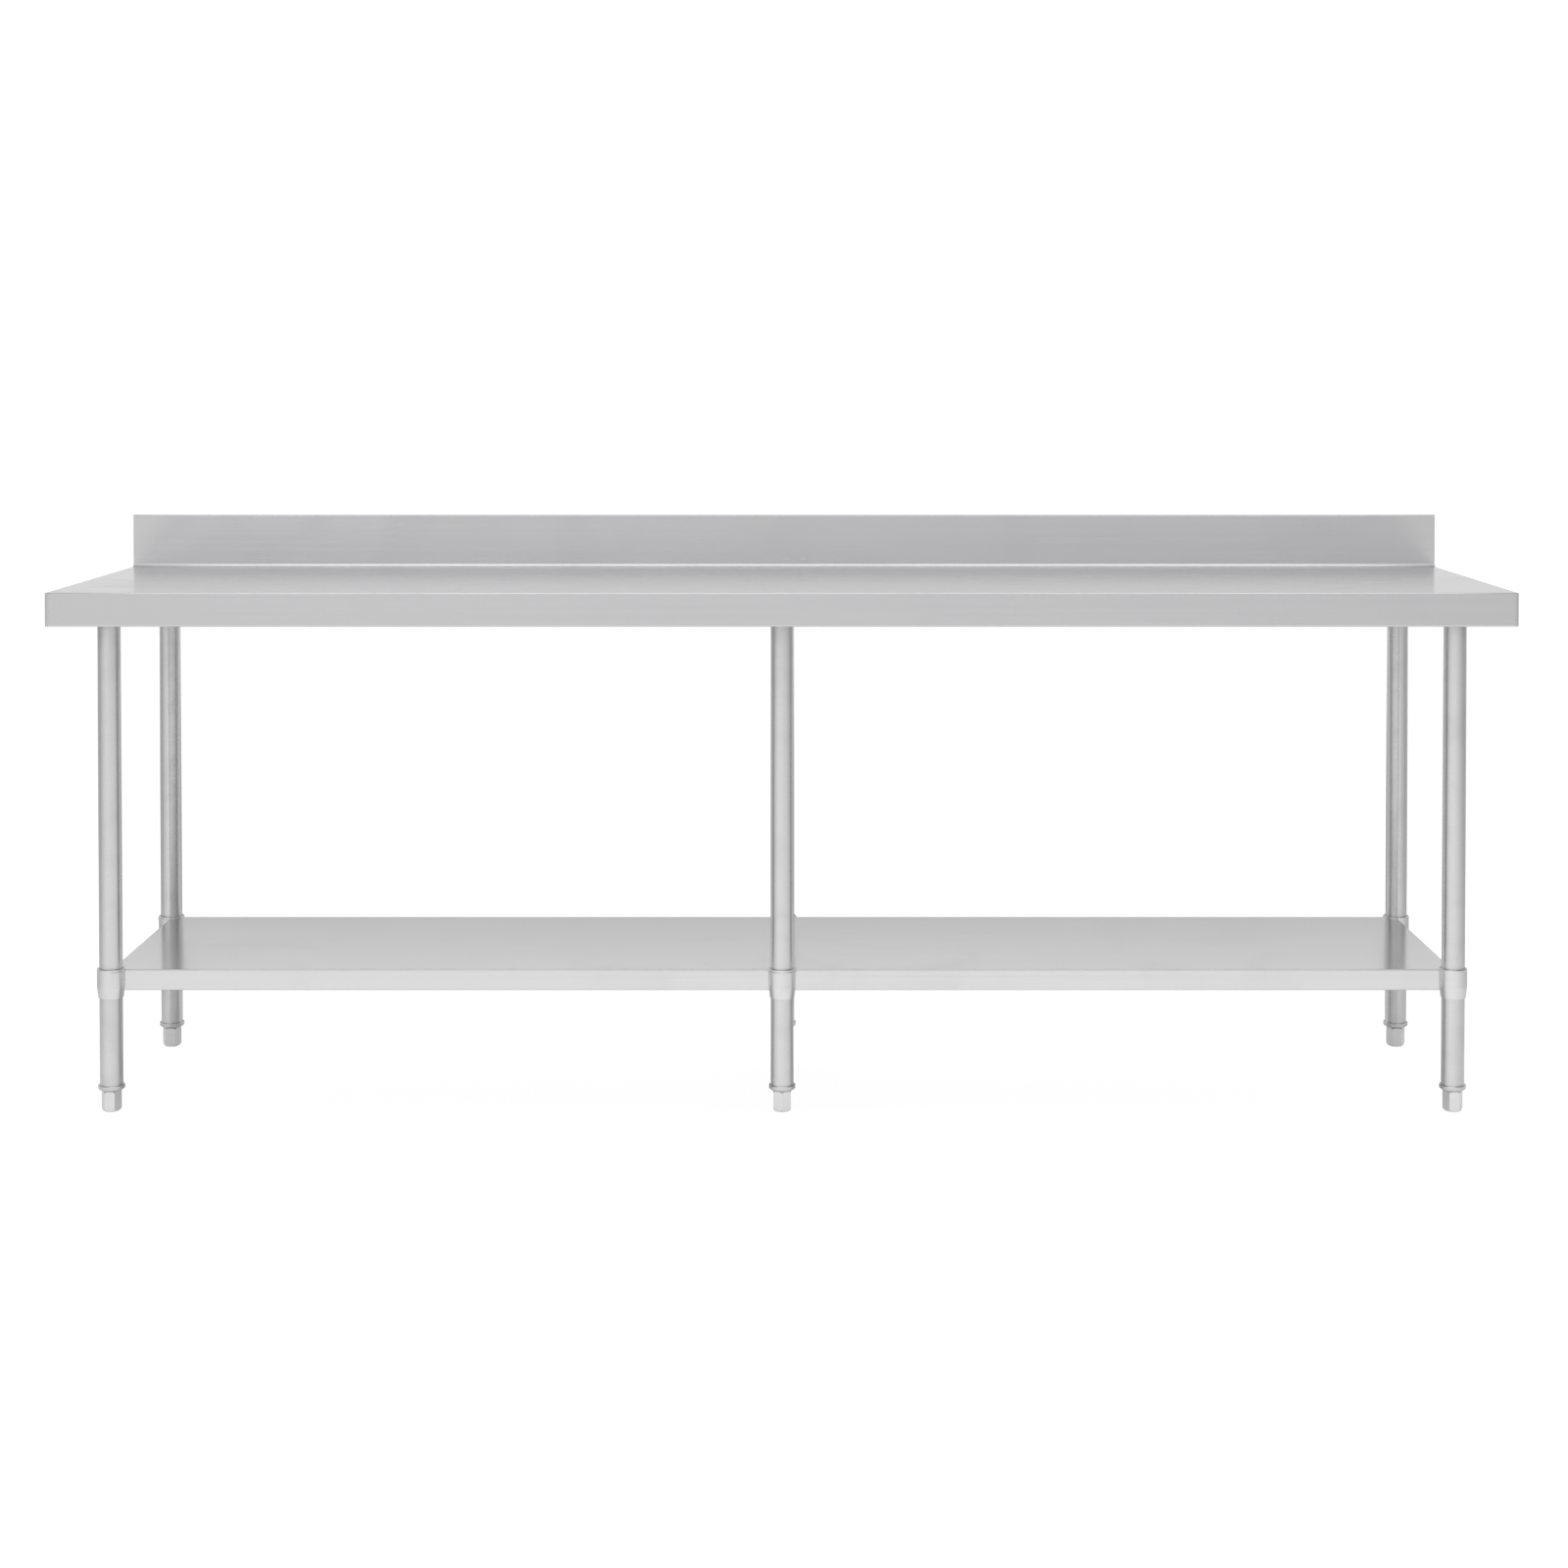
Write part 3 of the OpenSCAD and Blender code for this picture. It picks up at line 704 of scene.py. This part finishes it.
def inside_corner(place):
    """The angle at which a leg's quarter or half of the shelf starts, and how far it reaches."""
    starts = {
        "front_left": 0.0, "front_right": 90.0, "rear_right": 180.0, "rear_left": 270.0,
        "front_centre": 0.0, "rear_centre": 180.0,
    }
    sweep = 180.0 if place.endswith("centre") else 90.0
    return starts[place] + BEAD_END_GAP, sweep - 2.0 * BEAD_END_GAP


def discard(piece):
    """Removes the first model of a piece once its copies are made."""
    bpy.data.objects.remove(piece, do_unlink=True)


stem_low, stem_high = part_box("foot_stem_front_left")
stem_radius = (stem_high[0] - stem_low[0]) / 2
stem_length = stem_high[2] - stem_low[2]
stem_model = threaded_rod(
    stem_radius, stem_length, STEM_PITCH, STEM_DEPTH, STEM_SEGMENTS, STEM_TIP
)
for place in PLACES:
    x, y, bottom, _ = middle_of("foot_stem_" + place)
    stem = copy_to(stem_model, "threaded_stem_" + place, (x, y, bottom))
    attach(stem, "levelling_foot_" + place)
    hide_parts("foot_stem_" + place)
    stem.data.materials.append(finishes["fixing_steel"])
discard(stem_model)

stud_bottom, stud_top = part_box("weld_studs")[0][2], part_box("weld_studs")[1][2]
stud_places, stud_radius = round_solids("weld_studs", STUD_REACH)
stud_model = threaded_rod(
    stud_radius, stud_top - stud_bottom, STUD_PITCH, STUD_DEPTH, STUD_SEGMENTS, STUD_TIP
)
stud_model.rotation_euler = (math.radians(180.0), 0.0, 0.0)
settle(stud_model)
studs = [copy_to(stud_model, "threaded_studs", (x, y, stud_top)) for x, y in stud_places]
discard(stud_model)
deselect_all()
for stud in studs:
    stud.select_set(True)
bpy.context.view_layer.objects.active = studs[0]
bpy.ops.object.join()
studs[0].name = "threaded_studs"
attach(studs[0], "frame")
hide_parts("weld_studs")
studs[0].data.materials.append(finishes["fixing_steel"])

shelf_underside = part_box("undershelf")[1][2] - SHELF_SHEET
leg_low, leg_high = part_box("leg_front_left")
cup_radius = (leg_high[0] - leg_low[0]) / 2 + CUP_WALL
ring_model = weld_bead(
    cup_radius, BEAD_RADIUS, BEAD_RIPPLE, math.radians(BEAD_FULL_SWEEP),
    round(BEAD_FULL_SWEEP / BEAD_STEP)
)
for place in PLACES:
    x, y, _, top = middle_of("leg_" + place)
    ring = copy_to(ring_model, "socket_weld_" + place, (x, y, top))
    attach(ring, "frame")
    ring.data.materials.append(finishes["socket_steel"])
discard(ring_model)

for place in PLACES:
    x, y, _, _ = middle_of("shelf_collar_" + place)
    low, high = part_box("shelf_collar_" + place)
    start, sweep = inside_corner(place)
    bead = weld_bead(
        (high[0] - low[0]) / 2, BEAD_RADIUS, BEAD_RIPPLE, math.radians(sweep),
        round(sweep / BEAD_STEP)
    )
    bead.name = "collar_weld_" + place
    bead.rotation_euler = (0.0, 0.0, math.radians(start))
    bead.location = (x, y, shelf_underside - BEAD_RADIUS / 2)
    settle(bead)
    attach(bead, "shelf")
    bead.data.materials.append(finishes["collar_steel"])


# ---------------------------------------------------------------- floor, light and camera


def studio_floor(radius, height):
    """Pale seamless floor: a pool of light before the table, shade under it."""
    deselect_all()
    bpy.ops.mesh.primitive_circle_add(
        vertices=FLOOR_SIDES, radius=radius, fill_type="NGON", location=(0.0, 0.0, height)
    )
    floor = bpy.context.object
    floor.name = "studio_floor"
    material = bpy.data.materials.new("pale studio floor")
    material.use_nodes = True
    nodes = material.node_tree.nodes
    links = material.node_tree.links
    nodes.clear()

    coords = nodes.new("ShaderNodeTexCoord")
    coords.label = "Place on the floor"
    from_pool = nodes.new("ShaderNodeMapping")
    from_pool.label = "Measured from the pool's middle"
    reach = nodes.new("ShaderNodeVectorMath")
    reach.label = "Distance from the pool's middle"
    pool = nodes.new("ShaderNodeMapRange")
    pool.label = "Pool fades outwards"
    spread = nodes.new("ShaderNodeVectorMath")
    spread.label = "Same left and right, front and back"
    sides = nodes.new("ShaderNodeSeparateXYZ")
    sides.label = "Along and across the table"
    shade_along = nodes.new("ShaderNodeMapRange")
    shade_along.label = "Shade ends beyond the table's ends"
    shade_across = nodes.new("ShaderNodeMapRange")
    shade_across.label = "Shade ends before and behind"
    shade = nodes.new("ShaderNodeMath")
    shade.label = "Shade under the table"
    open_floor = nodes.new("ShaderNodeMath")
    open_floor.label = "Share of the light that arrives"
    lit = nodes.new("ShaderNodeMath")
    lit.label = "Pool and shade together"
    glow = nodes.new("ShaderNodeEmission")
    glow.label = "Lit floor as the steel sees it"
    paper = nodes.new("ShaderNodeBsdfDiffuse")
    paper.label = "White paper"
    backlight = nodes.new("ShaderNodeEmission")
    backlight.label = "Light through the paper"
    seen = nodes.new("ShaderNodeAddShader")
    seen.label = "Paper lit from both sides"
    rays = nodes.new("ShaderNodeLightPath")
    rays.label = "Seen directly or in the steel"
    choice = nodes.new("ShaderNodeMixShader")
    choice.label = "Floor itself or its reflection"
    output = nodes.new("ShaderNodeOutputMaterial")
    output.label = "Surface"

    columns = (
        (coords,), (from_pool, spread), (reach, sides), (pool, shade_along, shade_across),
        (shade,), (open_floor,), (lit, paper, backlight), (glow, seen, rays), (choice,), (output,)
    )
    for column, members in enumerate(columns):
        for row, node in enumerate(members):
            node.location = (column * NODE_ACROSS, -row * NODE_DOWN)
    effects = (
        ("Pool of light", (from_pool, reach, pool)),
        ("Shade under the table", (spread, sides, shade_along, shade_across, shade, open_floor)),
        ("Paper", (paper, backlight, seen)),
    )
    for title, members in effects:
        effect = nodes.new("NodeFrame")
        effect.label = title
        for node in members:
            node.parent = effect

    from_pool.inputs["Location"].default_value = (0.0, 2.5, 0.0)
    from_pool.inputs["Scale"].default_value = (1.0, 1.3, 1.0)
    reach.operation = "LENGTH"
    pool.interpolation_type = "SMOOTHSTEP"
    pool.inputs["From Min"].default_value = 1.5
    pool.inputs["From Max"].default_value = 4.6
    pool.inputs["To Min"].default_value = 1.1
    pool.inputs["To Max"].default_value = 0.5
    spread.operation = "ABSOLUTE"
    shade_along.interpolation_type = "SMOOTHSTEP"
    shade_along.inputs["From Min"].default_value = 1.0
    shade_along.inputs["From Max"].default_value = 1.4
    shade_along.inputs["To Min"].default_value = 1.0
    shade_along.inputs["To Max"].default_value = 0.0
    shade_across.interpolation_type = "SMOOTHSTEP"
    shade_across.inputs["From Min"].default_value = 0.08
    shade_across.inputs["From Max"].default_value = 0.42
    shade_across.inputs["To Min"].default_value = 1.0
    shade_across.inputs["To Max"].default_value = 0.0
    shade.operation = "MULTIPLY"
    open_floor.operation = "MULTIPLY_ADD"
    open_floor.inputs[1].default_value = -0.55
    open_floor.inputs[2].default_value = 1.0
    lit.operation = "MULTIPLY"
    paper.inputs["Color"].default_value = (0.35, 0.35, 0.35, 1.0)
    backlight.inputs["Strength"].default_value = 0.85

    links.new(coords.outputs["Object"], from_pool.inputs["Vector"])
    links.new(from_pool.outputs["Vector"], reach.inputs[0])
    links.new(reach.outputs["Value"], pool.inputs["Value"])
    links.new(coords.outputs["Object"], spread.inputs[0])
    links.new(spread.outputs["Vector"], sides.inputs["Vector"])
    links.new(sides.outputs["X"], shade_along.inputs["Value"])
    links.new(sides.outputs["Y"], shade_across.inputs["Value"])
    links.new(shade_along.outputs["Result"], shade.inputs[0])
    links.new(shade_across.outputs["Result"], shade.inputs[1])
    links.new(shade.outputs["Value"], open_floor.inputs[0])
    links.new(pool.outputs["Result"], lit.inputs[0])
    links.new(open_floor.outputs["Value"], lit.inputs[1])
    links.new(lit.outputs["Value"], glow.inputs["Strength"])
    links.new(paper.outputs["BSDF"], seen.inputs[0])
    links.new(backlight.outputs["Emission"], seen.inputs[1])
    links.new(rays.outputs["Is Camera Ray"], choice.inputs["Fac"])
    links.new(glow.outputs["Emission"], choice.inputs[1])
    links.new(seen.outputs["Shader"], choice.inputs[2])
    links.new(choice.outputs["Shader"], output.inputs["Surface"])
    floor.data.materials.append(material)


def shaded_backdrop(width, height, back):
    """Foot of the backdrop behind the table, where the table's own shade falls on it."""
    deselect_all()
    bpy.ops.mesh.primitive_plane_add(size=1.0, location=(0.0, 0.0, 0.0))
    card = bpy.context.object
    card.name = "backdrop_foot"
    card.scale = (width, height, 1.0)
    card.rotation_euler = (math.radians(90.0), 0.0, 0.0)
    card.location = (0.0, back, height / 2)
    settle(card)
    card.visible_camera = False
    card.visible_diffuse = False
    card.visible_shadow = False
    material = bpy.data.materials.new("backdrop foot")
    material.use_nodes = True
    nodes = material.node_tree.nodes
    links = material.node_tree.links
    nodes.clear()

    coords = nodes.new("ShaderNodeTexCoord")
    coords.label = "Place on the backdrop"
    parts = nodes.new("ShaderNodeSeparateXYZ")
    parts.label = "Height"
    rise = nodes.new("ShaderNodeMapRange")
    rise.label = "Shade thins upwards"
    glow = nodes.new("ShaderNodeEmission")
    glow.label = "Backdrop as the steel sees it"
    output = nodes.new("ShaderNodeOutputMaterial")
    output.label = "Surface"
    for column, node in enumerate((coords, parts, rise, glow, output)):
        node.location = (column * NODE_ACROSS, 0)
    effect = nodes.new("NodeFrame")
    effect.label = "Shade of the table"
    parts.parent = effect
    rise.parent = effect

    rise.interpolation_type = "SMOOTHSTEP"
    rise.inputs["From Min"].default_value = 0.38
    rise.inputs["From Max"].default_value = 0.66
    rise.inputs["To Min"].default_value = 0.45
    rise.inputs["To Max"].default_value = 1.0

    links.new(coords.outputs["Object"], parts.inputs["Vector"])
    links.new(parts.outputs["Z"], rise.inputs["Value"])
    links.new(rise.outputs["Result"], glow.inputs["Strength"])
    links.new(glow.outputs["Emission"], output.inputs["Surface"])
    card.data.materials.append(material)


def studio_world():
    """White walls: brighter in front and behind than at the sides, and brighter front left."""
    world = bpy.data.worlds.new("white studio")
    bpy.context.scene.world = world
    world.use_nodes = True
    nodes = world.node_tree.nodes
    links = world.node_tree.links
    nodes.clear()

    coords = nodes.new("ShaderNodeTexCoord")
    coords.label = "Direction"
    parts = nodes.new("ShaderNodeSeparateXYZ")
    parts.label = "Direction's parts"
    behind = nodes.new("ShaderNodeMapRange")
    behind.label = "From front to back"
    walls = nodes.new("ShaderNodeValToRGB")
    walls.label = "Brightness of the walls"
    front = nodes.new("ShaderNodeMath")
    front.label = "Front half only"
    lean = nodes.new("ShaderNodeMath")
    lean.label = "Left brighter than right"
    lean_gain = nodes.new("ShaderNodeMath")
    lean_gain.label = "By this much"
    level = nodes.new("ShaderNodeMath")
    level.label = "Brightness"
    around = nodes.new("ShaderNodeBackground")
    around.label = "Walls as the steel sees them"
    backdrop = nodes.new("ShaderNodeBackground")
    backdrop.label = "White backdrop"
    rays = nodes.new("ShaderNodeLightPath")
    rays.label = "Seen directly or in the steel"
    choice = nodes.new("ShaderNodeMixShader")
    choice.label = "Backdrop or walls"
    output = nodes.new("ShaderNodeOutputWorld")
    output.label = "World"

    columns = (
        (coords,), (parts,), (behind, front), (walls, lean), (lean_gain,), (level, rays),
        (around, backdrop), (choice,), (output,)
    )
    for column, members in enumerate(columns):
        for row, node in enumerate(members):
            node.location = (column * NODE_ACROSS, -row * NODE_DOWN)
    effects = (
        ("Front, sides and back", (behind, walls)),
        ("Brighter front left", (front, lean, lean_gain)),
        ("Walls and backdrop", (level, around, backdrop, rays, choice)),
    )
    for title, members in effects:
        effect = nodes.new("NodeFrame")
        effect.label = title
        for node in members:
            node.parent = effect

    behind.inputs["From Min"].default_value = -1.0
    behind.inputs["From Max"].default_value = 1.0
    stops = walls.color_ramp.elements
    stops[0].position = 0.0
    stops[0].color = (0.86, 0.86, 0.86, 1.0)
    stops[1].position = 1.0
    stops[1].color = (0.88, 0.88, 0.88, 1.0)
    side = stops.new(0.5)
    side.color = (0.45, 0.45, 0.45, 1.0)
    side_back = stops.new(0.8)
    side_back.color = (0.62, 0.62, 0.62, 1.0)
    front.operation = "MULTIPLY"
    front.use_clamp = True
    front.inputs[1].default_value = -1.0
    lean.operation = "MULTIPLY"
    lean_gain.operation = "MULTIPLY"
    lean_gain.inputs[1].default_value = -0.3
    level.operation = "ADD"
    around.inputs["Color"].default_value = (1.0, 1.0, 1.0, 1.0)
    backdrop.inputs["Color"].default_value = (1.0, 1.0, 1.0, 1.0)
    backdrop.inputs["Strength"].default_value = 1.05

    links.new(coords.outputs["Generated"], parts.inputs["Vector"])
    links.new(parts.outputs["Y"], behind.inputs["Value"])
    links.new(parts.outputs["Y"], front.inputs[0])
    links.new(behind.outputs["Result"], walls.inputs["Fac"])
    links.new(parts.outputs["X"], lean.inputs[0])
    links.new(front.outputs["Value"], lean.inputs[1])
    links.new(lean.outputs["Value"], lean_gain.inputs[0])
    links.new(walls.outputs["Color"], level.inputs[0])
    links.new(lean_gain.outputs["Value"], level.inputs[1])
    links.new(level.outputs["Value"], around.inputs["Strength"])
    links.new(rays.outputs["Is Camera Ray"], choice.inputs["Fac"])
    links.new(around.outputs["Background"], choice.inputs[1])
    links.new(backdrop.outputs["Background"], choice.inputs[2])
    links.new(choice.outputs["Shader"], output.inputs["Surface"])


def soft_light(name, place, aim, width, height, power):
    """A rectangular soft box at a place, facing the point it is aimed at."""
    light = bpy.data.lights.new(name, "AREA")
    light.shape = "RECTANGLE"
    light.size = width
    light.size_y = height
    light.energy = power
    lamp = bpy.data.objects.new(name, light)
    bpy.context.scene.collection.objects.link(lamp)
    lamp.location = place
    along = [a - p for a, p in zip(aim, place)]
    flat = math.hypot(along[0], along[1])
    lamp.rotation_euler = (math.atan2(flat, -along[2]), 0.0, math.atan2(-along[0], along[1]))
    lamp.visible_camera = False
    return lamp


def photographer_camera(place, pitch, sensor, lens, shift):
    """Long lens at standing eye height in front of the table, looking slightly down."""
    camera = bpy.data.cameras.new("camera")
    camera.sensor_width = sensor
    camera.lens = lens
    camera.shift_x, camera.shift_y = shift
    stand = bpy.data.objects.new("camera", camera)
    bpy.context.scene.collection.objects.link(stand)
    stand.location = place
    stand.rotation_euler = (math.radians(90.0 - pitch), 0.0, 0.0)
    bpy.context.scene.camera = stand


photographer_camera(
    place=(0.0324, -4.661, 1.231), pitch=1.35, sensor=36.0, lens=61.63, shift=(-0.01125, -0.225)
)
studio_world()
# The floor lies just under the feet screwed right out, so that no pose sinks them in it.
foot_travel = max(
    joint["range_m"][1] for joint in frame["record"]["behaviour"]["joints"]
    if joint["name"].startswith("foot_screw")
)
studio_floor(radius=7.0, height=-foot_travel - FLOOR_GAP)
shaded_backdrop(width=6.0, height=1.5, back=1.3)
soft_light(
    "overhead_soft_box", place=(0.0, -1.0, 3.4), aim=(0.0, -0.3, 0.0),
    width=3.6, height=2.0, power=26.0
)
bpy.context.scene.view_settings.view_transform = "Standard"
